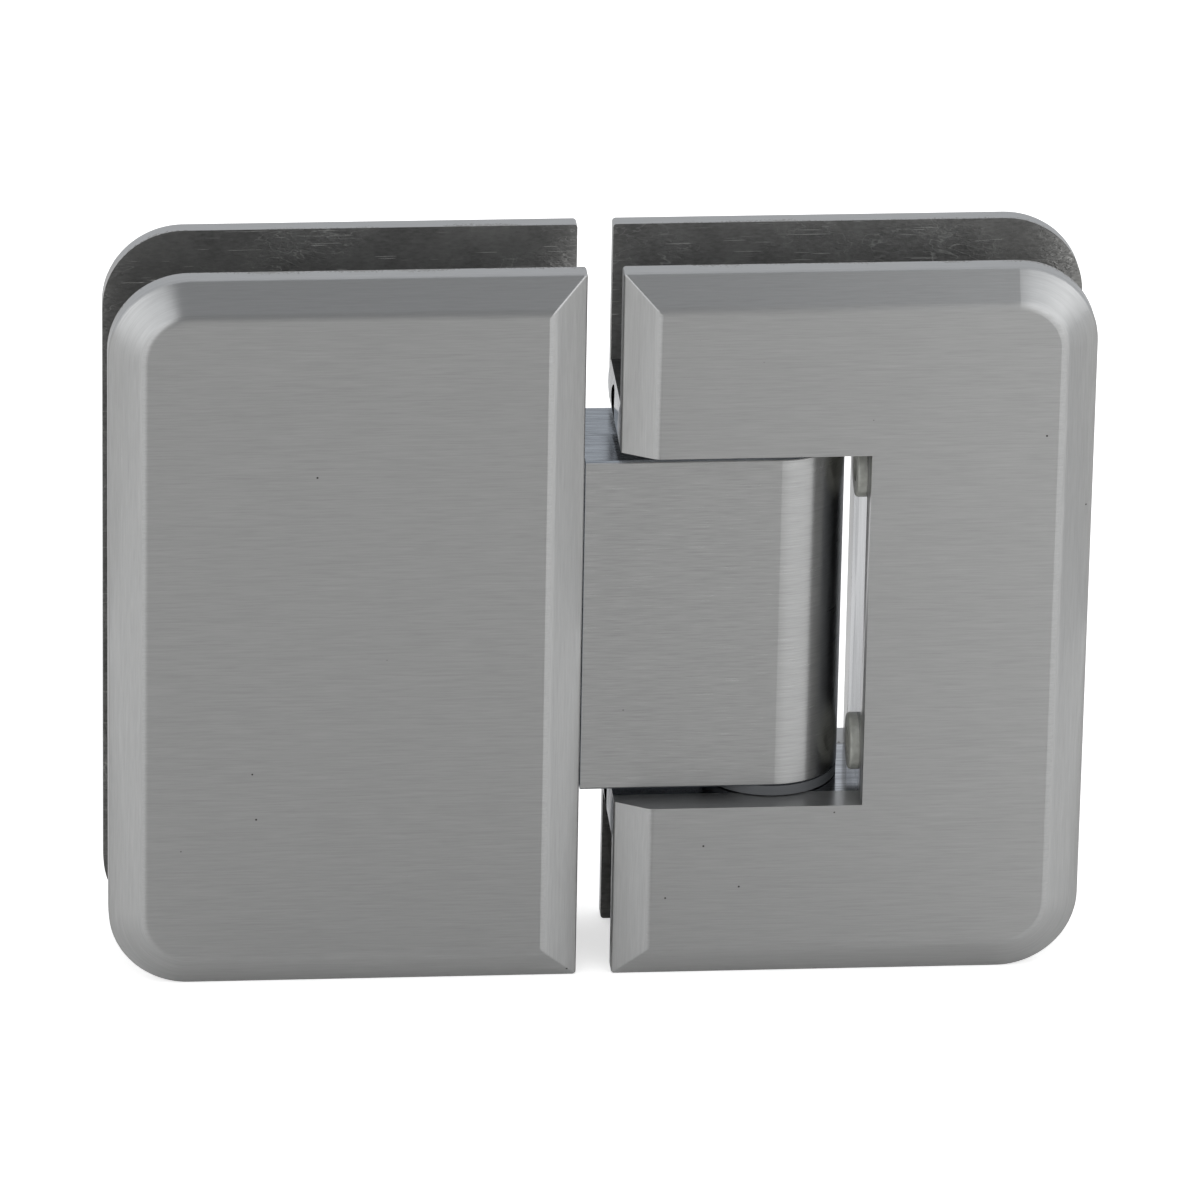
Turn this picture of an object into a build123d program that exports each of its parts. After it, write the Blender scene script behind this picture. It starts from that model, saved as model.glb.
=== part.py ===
from build123d import *
import os

# Glass-to-glass shower door hinge with bevelled plates, closed.
# X runs across both leaves (fixed leaf at -X, door leaf at +X), Y runs through
# the glass (front at -Y) and Z is up. The origin is midway between the leaves,
# in the middle of the glass and at half height. Millimetres.

# Plates of both leaves
plate_height = 90.0
plate_width = 55.5
plate_thickness = 4.5
bevel_width = 4.0
bevel_depth = 2.3
corner_radius = 9.5
edge_softening = 0.4
face_softening = 2.0
leaf_gap = 4.2
glass_gap = 12.9

# Pivot block of the fixed leaf: tongue between the plates, knuckle outside them
pivot_offset = 21.1
knuckle_height = 42.2
knuckle_thickness = 16.3
knuckle_chamfer = 0.3
tongue_length = 27.0
tongue_corner = 4.0
seat_recess = 0.4
seat_clearance = 0.1
knuckle_plate_gap = 0.15

# Pivot pin and its two flanged bushes
pin_diameter = 8.0
pin_chamfer = 0.5
pin_end_recess = 0.3
pin_clearance = 0.05
pin_relief = 0.5
bush_wall = 1.5
bush_length = 8.0
bush_fit = 0.02
flange_thickness = 1.2
flange_overhang = 2.55
flange_running_gap = 0.15
cam_flat_depth = 0.55
cam_flat_length = 7.5

# Pin lugs, web and screw ears of the door leaf
web_running_gap = 2.05
web_thickness = 6.0
lug_height = 5.5
lug_bulge = 0.3
ear_radius = 6.5
ear_setback = 0.3

# Pin set screws, in the open ends of the lugs
set_screw_diameter = 4.0
set_screw_length = 8.0
set_screw_socket = 2.0
set_screw_socket_depth = 2.5
set_screw_seat_depth = 0.4
set_screw_seat_length = 5.0
thread_clearance = 0.03

# Spring plungers with rollers, in two bores along the tongue
bore_height = 8.0
plunger_diameter = 7.0
plunger_length = 13.0
plunger_clearance = 0.1
plunger_nose_setback = 0.3
spigot_length = 3.0
spigot_clearance = 0.3
roller_diameter = 4.0
roller_length = 5.6
roller_clearance = 0.05
spring_wire_radial = 1.0
spring_wire_axial = 1.2
spring_turns = 6
spring_clearance = 0.2
spring_end_gap = 0.1
plug_thread_step = 0.4
plug_length = 8.0
plug_inset = 6.0
plug_socket = 4.0
plug_socket_depth = 3.5
plug_chamfer = 0.5

# Clamp screws, countersunk from behind into blind holes in the front plates
clamp_diameter = 5.0
clamp_clearance = 0.2
clamp_head_diameter = 9.6
clamp_head_gap = 0.1
clamp_socket = 3.0
clamp_socket_depth = 2.2
clamp_tip_chamfer = 0.5
clamp_tip_gap = 0.3
tap_depth = 3.2
clamp_edge_inset = 10.5
clamp_end_inset = 5.0
clamp_row_inset = 4.6

# Bump pads pressed into the web beside the knuckle
pad_diameter = 6.8
pad_thickness = 1.1
pad_edge_radius = 0.3
pad_dimple_diameter = 3.2
pad_dimple_depth = 0.8
pad_stem_diameter = 4.0
pad_stem_length = 4.0
pad_inset = 4.85
pad_forward = 3.2
pad_fit = 0.02

# Places that follow from the sizes
plate_edge_x = leaf_gap / 2
plate_middle_x = plate_edge_x + plate_width / 2
inner_face_y = glass_gap / 2
outer_face_y = inner_face_y + plate_thickness
seat_y = inner_face_y + seat_recess
knuckle_start_x = -plate_edge_x + knuckle_plate_gap
tongue_end_x = -plate_edge_x - tongue_length
pin_radius = pin_diameter / 2
bush_radius = pin_radius + pin_clearance + bush_wall
flange_radius = bush_radius + flange_overhang
cutout_half_height = knuckle_height / 2 + flange_thickness + flange_running_gap
cutout_wall_x = pivot_offset + knuckle_thickness / 2 + web_running_gap
lug_top_z = cutout_half_height + lug_height
lug_middle_z = cutout_half_height + lug_height / 2
ear_x = cutout_wall_x + ear_setback + ear_radius
roller_radius = roller_diameter / 2
roller_x = pivot_offset - pin_radius - roller_clearance - roller_radius
plunger_nose_x = roller_x - plunger_nose_setback
plunger_back_x = plunger_nose_x - plunger_length
plunger_bore_radius = plunger_diameter / 2 + plunger_clearance
plug_radius = plunger_bore_radius + plug_thread_step
plug_face_x = tongue_end_x + plug_inset + plug_length
spring_outer_radius = plunger_bore_radius - spring_clearance
spring_inner_radius = spring_outer_radius - spring_wire_radial
spring_length = plunger_back_x - plug_face_x - 2 * spring_end_gap
clamp_near_x = -plate_edge_x - clamp_edge_inset
clamp_far_x = tongue_end_x + clamp_end_inset
clamp_row_z = knuckle_height / 2 - clamp_row_inset
clamp_length = outer_face_y + seat_y + tap_depth - clamp_tip_gap
set_screw_tip_x = pivot_offset - pin_radius + set_screw_seat_depth - thread_clearance
pad_z = cutout_half_height - pad_inset

# Planes on the inner and outer faces of the plates, each facing out of the hinge
front_inner = Plane(origin=(0, -inner_face_y, 0), x_dir=(1, 0, 0), z_dir=(0, -1, 0))
back_inner = Plane(origin=(0, inner_face_y, 0), x_dir=(1, 0, 0), z_dir=(0, 1, 0))
back_outer = back_inner.offset(plate_thickness)
# Plane on the floor of a front plate's recess, facing the glass
front_seat = Plane(origin=(0, -seat_y, 0), x_dir=(1, 0, 0), z_dir=(0, 1, 0))

fixed_clamp_places = [(x, z) for x in (clamp_near_x, clamp_far_x) for z in (-clamp_row_z, clamp_row_z)]
door_clamp_places = [(ear_x, -lug_middle_z), (ear_x, lug_middle_z)]
levels = (("upper", 1), ("lower", -1))

os.makedirs("parts", exist_ok=True)


# Bevelled plate: round outer corners, square corners beside the other leaf
def bevelled_plate(inner_plane, side):
    outer_end = -1 if side > 0 else 0
    near_end = 0 if side > 0 else -1
    depth = Axis(inner_plane.origin, inner_plane.z_dir)
    with BuildPart() as plate:
        with BuildSketch(inner_plane) as outline:
            with Locations((side * plate_middle_x, 0)):
                Rectangle(plate_width, plate_height)
            fillet(outline.vertices().group_by(Axis.X)[outer_end], corner_radius)
        extrude(amount=plate_thickness)
        face = plate.faces().sort_by(depth)[-1]
        chamfer(face.edges(), length=bevel_width, length2=bevel_depth, reference=face)
        # A wide round where the bevels meet the face, small ones on the rim and mitres
        fillet(plate.faces().sort_by(depth)[-1].edges(), face_softening)
        sides, rim, slants = plate.edges().group_by(depth)[1:4]
        square_corners = sides.group_by(Axis.X)[near_end] + slants.group_by(Axis.X)[near_end]
        fillet(rim + square_corners, edge_softening)
    return plate.part


# Outline of the tongue where it sits in a plate's recess
def tongue_seat(plane):
    with BuildSketch(plane) as seat:
        length = tongue_length + seat_clearance
        with Locations((-plate_edge_x - length / 2, 0)):
            Rectangle(length, knuckle_height + 2 * seat_clearance)
        fillet(seat.vertices().group_by(Axis.X)[0], tongue_corner)
    return seat.sketch


# Window in the door plates that the knuckle turns in
def knuckle_window(plane):
    with BuildSketch(plane) as window:
        with Locations((cutout_wall_x, 0)):
            Rectangle(cutout_wall_x, 2 * cutout_half_height, align=(Align.MAX, Align.CENTER))
    return window.sketch


# Lugs, web and screw ears of the door leaf, as one C-shaped outline
def lug_and_web(plane, margin):
    top_z = lug_top_z + margin
    with BuildSketch(plane) as ridge:
        with BuildLine():
            Line((ear_x, cutout_half_height), (plate_edge_x, cutout_half_height))
            SagittaArc((plate_edge_x, cutout_half_height), (plate_edge_x, top_z), lug_bulge)
            Line((plate_edge_x, top_z), (ear_x, top_z))
            Line((ear_x, top_z), (ear_x, cutout_half_height))
        make_face()
        mirror(about=Plane.XZ)
        with Locations((cutout_wall_x, 0)):
            Rectangle(web_thickness + margin, 2 * top_z, align=(Align.MIN, Align.CENTER))
        with Locations(*door_clamp_places):
            Circle(ear_radius + margin)
    return ridge.sketch


# Countersunk hex-socket screw, head face on the XY plane and shank down
def clamp_screw():
    head_radius = clamp_head_diameter / 2
    shank_radius = clamp_diameter / 2
    with BuildPart() as screw:
        with BuildSketch(Plane.XZ):
            with BuildLine():
                Polyline(
                    (0, 0),
                    (head_radius, 0),
                    (shank_radius, shank_radius - head_radius),
                    (shank_radius, clamp_tip_chamfer - clamp_length),
                    (shank_radius - clamp_tip_chamfer, -clamp_length),
                    (0, -clamp_length),
                    close=True,
                )
            make_face()
        revolve(axis=Axis.Z)
        with BuildSketch(Plane.XY):
            RegularPolygon(clamp_socket / 2, side_count=6, major_radius=False)
        extrude(amount=-clamp_socket_depth, mode=Mode.SUBTRACT)
    return screw.part


# Fixed front plate: recess for the tongue, blind tapped holes behind
with BuildPart() as fixed_front_plate:
    add(bevelled_plate(front_inner, -1))
    extrude(tongue_seat(front_inner), amount=seat_recess, mode=Mode.SUBTRACT)
    with Locations(front_seat):
        with Locations(*fixed_clamp_places):
            Hole(clamp_diameter / 2 + thread_clearance, depth=tap_depth)
fixed_front_plate.part.label = "fixed_front_plate"
export_step(fixed_front_plate.part, "parts/fixed_front_plate.step")

# Fixed back plate: the same plate with countersunk holes
with BuildPart() as fixed_back_plate:
    add(bevelled_plate(back_inner, -1))
    extrude(tongue_seat(back_inner), amount=seat_recess, mode=Mode.SUBTRACT)
    with Locations(back_outer):
        with Locations(*fixed_clamp_places):
            CounterSinkHole(
                clamp_diameter / 2 + clamp_clearance,
                clamp_head_diameter / 2 + clamp_head_gap,
                counter_sink_angle=90,
            )
fixed_back_plate.part.label = "fixed_back_plate"
export_step(fixed_back_plate.part, "parts/fixed_back_plate.step")

# Pivot block: tongue in the plates' recesses, knuckle with a round end on the pin axis
with BuildPart() as pivot_block:
    with BuildSketch(Plane.XY.offset(-knuckle_height / 2)):
        with Locations((knuckle_start_x, 0)):
            Rectangle(knuckle_start_x - tongue_end_x, 2 * seat_y, align=(Align.MAX, Align.CENTER))
            Rectangle(
                pivot_offset - knuckle_start_x, knuckle_thickness, align=(Align.MIN, Align.CENTER)
            )
        with Locations((pivot_offset, 0)):
            Circle(knuckle_thickness / 2)
    extrude(amount=knuckle_height)
    fillet(pivot_block.edges().filter_by(Axis.Y).group_by(Axis.X)[0], tongue_corner)
    knuckle_ends = pivot_block.faces().group_by(Axis.Z)
    end_edges = knuckle_ends[0].edges() + knuckle_ends[-1].edges()
    chamfer(end_edges.filter_by(lambda edge: edge.center().X > knuckle_start_x), knuckle_chamfer)
    # Pin bore, relieved between the two bush seats
    with Locations((pivot_offset, 0, knuckle_height / 2)):
        Hole(pin_radius + pin_relief)
        Hole(bush_radius + bush_fit, depth=bush_length)
    with Locations(Plane(origin=(pivot_offset, 0, -knuckle_height / 2), z_dir=(0, 0, -1))):
        Hole(bush_radius + bush_fit, depth=bush_length)
    # Plunger bores from the tongue's end to the pin, opened up for the plugs
    for level, sign in levels:
        with Locations(Plane(origin=(tongue_end_x, 0, sign * bore_height), z_dir=(-1, 0, 0))):
            Hole(plunger_bore_radius, depth=pivot_offset - tongue_end_x)
            Hole(plug_radius + thread_clearance, depth=plug_inset + plug_length)
    with Locations(back_outer):
        with Locations(*fixed_clamp_places):
            Hole(clamp_diameter / 2 + clamp_clearance)
pivot_block.part.label = "pivot_block"
export_step(pivot_block.part, "parts/pivot_block.step")

# Door front plate: C-shaped cover with a recess for the lugs and web
with BuildPart() as door_front_plate:
    add(bevelled_plate(front_inner, 1))
    extrude(knuckle_window(front_inner), amount=plate_thickness, mode=Mode.SUBTRACT)
    extrude(lug_and_web(front_inner, seat_clearance), amount=seat_recess, mode=Mode.SUBTRACT)
    with Locations(front_seat):
        with Locations(*door_clamp_places):
            Hole(clamp_diameter / 2 + thread_clearance, depth=tap_depth)
door_front_plate.part.label = "door_front_plate"
export_step(door_front_plate.part, "parts/door_front_plate.step")

# Door back plate: C-shaped plate with the lugs and web cast on it
with BuildPart() as door_back_plate:
    add(bevelled_plate(back_inner, 1))
    extrude(knuckle_window(back_inner), amount=plate_thickness, mode=Mode.SUBTRACT)
    extrude(lug_and_web(back_inner, 0), amount=-(glass_gap + seat_recess))
    # Pin holes through both lugs
    with Locations((pivot_offset, 0, lug_top_z)):
        Hole(pin_radius + pin_clearance)
    for level, sign in levels:
        # Set screw hole from the lug's open end to the pin
        with Locations(Plane(origin=(0, 0, sign * lug_middle_z), z_dir=(-1, 0, 0))):
            Hole(set_screw_diameter / 2 + thread_clearance, depth=pivot_offset)
        # Blind hole for the bump pad's stem
        with Locations(Plane(origin=(cutout_wall_x, -pad_forward, sign * pad_z), z_dir=(-1, 0, 0))):
            Hole(pad_stem_diameter / 2 + pad_fit, depth=pad_stem_length + seat_clearance)
    with Locations(back_outer):
        with Locations(*door_clamp_places):
            CounterSinkHole(
                clamp_diameter / 2 + clamp_clearance,
                clamp_head_diameter / 2 + clamp_head_gap,
                counter_sink_angle=90,
            )
door_back_plate.part.label = "door_back_plate"
export_step(door_back_plate.part, "parts/door_back_plate.step")

# Pivot pin: three cam flats at each roller, a seat flat for each set screw
pin_length = 2 * (lug_top_z - pin_end_recess)
with BuildPart() as pivot_pin:
    with BuildSketch(Plane.XY.offset(-pin_length / 2)):
        with Locations((pivot_offset, 0)):
            Circle(pin_radius)
    extrude(amount=pin_length)
    chamfer(pivot_pin.edges(), pin_chamfer)
    for level, sign in levels:
        with BuildSketch(Plane.XY.offset(sign * bore_height - cam_flat_length / 2)):
            with Locations((pivot_offset, 0)):
                with PolarLocations(pin_radius, 3, start_angle=90, angular_range=180, endpoint=True):
                    Rectangle(2 * cam_flat_depth, pin_diameter)
        extrude(amount=cam_flat_length, mode=Mode.SUBTRACT)
        with BuildSketch(Plane.XY.offset(sign * lug_middle_z - set_screw_seat_length / 2)):
            with Locations((pivot_offset - pin_radius, 0)):
                Rectangle(2 * set_screw_seat_depth, pin_diameter)
        extrude(amount=set_screw_seat_length, mode=Mode.SUBTRACT)
pivot_pin.part.label = "pivot_pin"
export_step(pivot_pin.part, "parts/pivot_pin.step")

for level, sign in levels:
    # Flanged bush: sleeve in the knuckle, flange as thrust washer under the lug
    with BuildPart() as flange_bush:
        with BuildSketch(Plane.XY.offset(sign * knuckle_height / 2)):
            with Locations((pivot_offset, 0)):
                Circle(flange_radius)
                Circle(pin_radius + pin_clearance, mode=Mode.SUBTRACT)
        extrude(amount=sign * flange_thickness)
        with BuildSketch(Plane.XY.offset(sign * knuckle_height / 2)):
            with Locations((pivot_offset, 0)):
                Circle(bush_radius)
                Circle(pin_radius + pin_clearance, mode=Mode.SUBTRACT)
        extrude(amount=-sign * bush_length)
    flange_bush.part.label = f"{level}_flange_bush"
    export_step(flange_bush.part, f"parts/{level}_flange_bush.step")

    # Plunger: round slide with a half-round cradle and a spigot inside the spring
    with BuildPart() as plunger:
        with BuildSketch(Plane(origin=(plunger_back_x, 0, sign * bore_height), z_dir=(1, 0, 0))):
            Circle(plunger_diameter / 2)
        extrude(amount=plunger_length)
        with BuildSketch(Plane(origin=(plunger_back_x, 0, sign * bore_height), z_dir=(-1, 0, 0))):
            Circle(spring_inner_radius - spigot_clearance)
        extrude(amount=spigot_length)
        with BuildSketch(Plane.XY.offset(sign * bore_height)):
            with Locations((roller_x, 0)):
                Circle(roller_radius + roller_clearance)
        extrude(amount=plunger_diameter, both=True, mode=Mode.SUBTRACT)
    plunger.part.label = f"{level}_plunger"
    export_step(plunger.part, f"parts/{level}_plunger.step")

    # Roller: loose hardened needle between the cradle and the pin
    with BuildPart() as roller:
        with BuildSketch(Plane.XY.offset(sign * bore_height)):
            with Locations((roller_x, 0)):
                Circle(roller_radius)
        extrude(amount=roller_length / 2, both=True)
    roller.part.label = f"{level}_roller"
    export_step(roller.part, f"parts/{level}_roller.step")

    # Spring: rectangular wire wound from the plug to the plunger
    coil_radius = (spring_outer_radius + spring_inner_radius) / 2
    coil_height = spring_length - spring_wire_axial
    coil_start = (plug_face_x + spring_end_gap + spring_wire_axial / 2, 0, sign * bore_height)
    with BuildPart() as spring:
        with BuildLine() as coil:
            Helix(coil_height / spring_turns, coil_height, coil_radius, coil_start, (1, 0, 0))
        first_point = coil.line @ 0
        outward = first_point - Vector(*coil_start)
        with BuildSketch(Plane(origin=first_point, x_dir=outward, z_dir=coil.line % 0)):
            Rectangle(spring_wire_radial, spring_wire_axial)
        sweep(is_frenet=True)
    spring.part.label = f"{level}_spring"
    export_step(spring.part, f"parts/{level}_spring.step")

    # Spring plug: hex-socket screw in the tongue's end
    with BuildPart() as spring_plug:
        with BuildSketch(Plane(origin=(plug_face_x, 0, sign * bore_height), z_dir=(-1, 0, 0))):
            Circle(plug_radius)
        extrude(amount=plug_length)
        chamfer(spring_plug.edges().group_by(Axis.X)[0], plug_chamfer)
        with BuildSketch(Plane(origin=(plug_face_x - plug_length, 0, sign * bore_height), z_dir=(1, 0, 0))):
            RegularPolygon(plug_socket / 2, side_count=6, major_radius=False)
        extrude(amount=plug_socket_depth, mode=Mode.SUBTRACT)
    spring_plug.part.label = f"{level}_spring_plug"
    export_step(spring_plug.part, f"parts/{level}_spring_plug.step")

    # Pin set screw: grub screw on the pin's seat flat
    with BuildPart() as pin_set_screw:
        with BuildSketch(Plane(origin=(set_screw_tip_x, 0, sign * lug_middle_z), z_dir=(-1, 0, 0))):
            Circle(set_screw_diameter / 2)
        extrude(amount=set_screw_length)
        socket_x = set_screw_tip_x - set_screw_length
        with BuildSketch(Plane(origin=(socket_x, 0, sign * lug_middle_z), z_dir=(1, 0, 0))):
            RegularPolygon(set_screw_socket / 2, side_count=6, major_radius=False)
        extrude(amount=set_screw_socket_depth, mode=Mode.SUBTRACT)
    pin_set_screw.part.label = f"{level}_pin_set_screw"
    export_step(pin_set_screw.part, f"parts/{level}_pin_set_screw.step")

    # Bump pad: dimpled button with a stem pressed into the web
    with BuildPart() as bump_pad:
        pad_face = Plane(origin=(cutout_wall_x, -pad_forward, sign * pad_z), z_dir=(-1, 0, 0))
        with BuildSketch(pad_face):
            Circle(pad_diameter / 2)
        extrude(amount=pad_thickness)
        fillet(bump_pad.edges().group_by(Axis.X)[0], pad_edge_radius)
        with BuildSketch(pad_face.offset(pad_thickness)):
            Circle(pad_dimple_diameter / 2)
        extrude(amount=-pad_dimple_depth, mode=Mode.SUBTRACT)
        with BuildSketch(pad_face):
            Circle(pad_stem_diameter / 2)
        extrude(amount=-pad_stem_length)
    bump_pad.part.label = f"{level}_bump_pad"
    export_step(bump_pad.part, f"parts/{level}_bump_pad.step")

# Clamp screws of each leaf, heads flush with the back plates
with BuildPart() as fixed_clamp_screws:
    with Locations(back_outer):
        with Locations(*fixed_clamp_places):
            add(clamp_screw())
fixed_clamp_screws.part.label = "fixed_clamp_screws"
export_step(fixed_clamp_screws.part, "parts/fixed_clamp_screws.step")

with BuildPart() as door_clamp_screws:
    with Locations(back_outer):
        with Locations(*door_clamp_places):
            add(clamp_screw())
door_clamp_screws.part.label = "door_clamp_screws"
export_step(door_clamp_screws.part, "parts/door_clamp_screws.step")
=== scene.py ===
import math

import bpy
from mathutils import Matrix, Vector


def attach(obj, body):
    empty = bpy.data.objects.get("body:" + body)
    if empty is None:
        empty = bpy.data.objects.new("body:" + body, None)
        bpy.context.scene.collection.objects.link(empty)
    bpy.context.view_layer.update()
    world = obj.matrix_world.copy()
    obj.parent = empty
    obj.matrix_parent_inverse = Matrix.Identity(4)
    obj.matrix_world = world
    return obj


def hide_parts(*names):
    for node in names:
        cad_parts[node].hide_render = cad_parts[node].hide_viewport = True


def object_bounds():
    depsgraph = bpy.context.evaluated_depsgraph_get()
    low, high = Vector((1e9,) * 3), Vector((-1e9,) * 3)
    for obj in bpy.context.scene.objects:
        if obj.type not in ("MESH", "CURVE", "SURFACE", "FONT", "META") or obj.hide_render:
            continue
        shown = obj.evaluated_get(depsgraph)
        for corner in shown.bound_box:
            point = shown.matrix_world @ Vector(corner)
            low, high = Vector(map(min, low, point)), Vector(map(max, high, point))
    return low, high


# Glass-to-glass shower door hinge, closed, standing on a white table in a small studio.
# Metres, in the hinge's own frame: X across the leaves, Y through the glass, Z up.
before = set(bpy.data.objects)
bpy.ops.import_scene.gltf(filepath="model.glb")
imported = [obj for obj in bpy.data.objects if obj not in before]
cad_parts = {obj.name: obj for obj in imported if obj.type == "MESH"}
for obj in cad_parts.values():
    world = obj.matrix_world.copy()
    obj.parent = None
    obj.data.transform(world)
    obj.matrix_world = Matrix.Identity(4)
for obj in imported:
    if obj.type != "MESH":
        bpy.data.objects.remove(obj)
cad_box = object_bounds()


# The fixed leaf's two cover plates, which clamp the fixed pane between them.
# Each is a zinc casting, bevelled on a belt and brushed along its width, then nickel plated.
# The faces towards the glass stay as cast.
mm = 0.001
glass_face_y = 6.45 * mm
rim_raggedness = 0.9 * mm
rim_grain = 1 / 3 * mm
stroke_length = 3.4 * mm
stroke_width = 0.11 * mm
plate_stroke_depth = 0.68
bevel_facing = 0.94
pit_spacing = 6.0 * mm
cast_cloud = 7.0 * mm
cast_grain = 0.3 * mm
cast_flow = 2.5
cast_crinkle = 0.32 * mm
cast_fold = 2.5 * mm
scratch_length = 7.0 * mm
scratch_width = 0.13 * mm
nickel_light = "#B0B0AF"
nickel_dark = "#9E9E9D"
pit_dark = "#3C3B39"
cast_light = "#A8A7A4"
cast_dark = "#706F6D"
cast_bright = "#C9C8C4"


def to_linear(hex_colour):
    parts = [int(hex_colour[i:i + 2], 16) / 255 for i in (1, 3, 5)]
    return [p / 12.92 if p <= 0.04045 else ((p + 0.055) / 1.055) ** 2.4 for p in parts] + [1.0]


def add_node(tree, kind, output, inputs, **settings):
    node = tree.nodes.new(kind)
    for name, value in settings.items():
        setattr(node, name, value)
    for name, value in inputs.items():
        if isinstance(value, bpy.types.NodeSocket):
            tree.links.new(value, node.inputs[name])
        else:
            node.inputs[name].default_value = value
    return node if output is None else node.outputs[output]


def new_material(name):
    material = bpy.data.materials.new(name)
    material.use_nodes = True
    material.node_tree.nodes.clear()
    return material, material.node_tree


# As-cast zinc under thin plating: dull dark grey, cloudy and grained along the plate,
# with crinkled patches, fine folds in them and a few long bright scratches.
def as_cast(tree, place):
    clouds = add_node(
        tree, "ShaderNodeTexNoise", "Fac", {"Vector": place, "Scale": 1 / cast_cloud, "Detail": 3.0}
    )
    flow_place = add_node(
        tree, "ShaderNodeMapping", "Vector", {"Vector": place, "Scale": (1 / cast_flow, 1.0, 1.0)}
    )
    grain = add_node(
        tree, "ShaderNodeTexNoise", "Fac", {"Vector": flow_place, "Scale": 1 / cast_grain, "Detail": 3.0}
    )
    tone = add_node(tree, "ShaderNodeMix", "Result", {"Factor": 0.38, "A": clouds, "B": grain})
    tone = add_node(
        tree, "ShaderNodeMapRange", "Result", {"Value": tone, "From Min": 0.28, "From Max": 0.72}
    )
    colour = add_node(
        tree, "ShaderNodeMix", "Result",
        {"Factor": tone, "A": to_linear(cast_dark), "B": to_linear(cast_light)}, data_type="RGBA",
    )
    patches = add_node(
        tree, "ShaderNodeTexNoise", "Fac", {"Vector": place, "Scale": 0.6 / cast_cloud, "Detail": 2.0}
    )
    patches = add_node(
        tree, "ShaderNodeMapRange", "Result", {"Value": patches, "From Min": 0.42, "From Max": 0.62}
    )
    crinkles = add_node(
        tree, "ShaderNodeTexNoise", "Fac",
        {"Vector": flow_place, "Scale": 1 / cast_crinkle, "Detail": 2.0, "Distortion": 0.6},
    )
    folds = add_node(
        tree, "ShaderNodeTexNoise", "Fac",
        {"Vector": flow_place, "Scale": 1 / cast_fold, "Detail": 3.0, "Distortion": 0.4},
    )
    folds = add_node(tree, "ShaderNodeMath", 0, {0: folds, 1: 0.5}, operation="SUBTRACT")
    folds = add_node(tree, "ShaderNodeMath", 0, {0: folds}, operation="ABSOLUTE")
    folds = add_node(
        tree, "ShaderNodeMapRange", "Result",
        {"Value": folds, "From Min": 0.002, "From Max": 0.009, "To Min": 0.6, "To Max": 0.0},
    )
    folds = add_node(tree, "ShaderNodeMath", 0, {0: folds, 1: patches}, operation="MULTIPLY")
    scratch_place = add_node(
        tree, "ShaderNodeMapping", "Vector",
        {"Vector": place, "Scale": (1 / scratch_length, 1 / scratch_length, 1 / scratch_width)},
    )
    scratches = add_node(
        tree, "ShaderNodeTexNoise", "Fac", {"Vector": scratch_place, "Scale": 1.0, "Detail": 1.0}
    )
    scratches = add_node(
        tree, "ShaderNodeMapRange", "Result", {"Value": scratches, "From Min": 0.71, "From Max": 0.735}
    )
    bright = add_node(tree, "ShaderNodeMath", 0, {0: folds, 1: scratches}, operation="MAXIMUM")
    colour = add_node(
        tree, "ShaderNodeMix", "Result",
        {"Factor": bright, "A": colour, "B": to_linear(cast_bright)}, data_type="RGBA",
    )
    roughness = add_node(
        tree, "ShaderNodeMapRange", "Result", {"Value": tone, "To Min": 0.52, "To Max": 0.40}
    )
    height = add_node(tree, "ShaderNodeMath", 0, {0: crinkles, 1: patches}, operation="MULTIPLY")
    height = add_node(tree, "ShaderNodeMath", 0, {0: height, 1: 0.06}, operation="MULTIPLY")
    height = add_node(
        tree, "ShaderNodeMath", 0, {0: scratches, 1: -0.05, 2: height}, operation="MULTIPLY_ADD"
    )
    return colour, roughness, height


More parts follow.
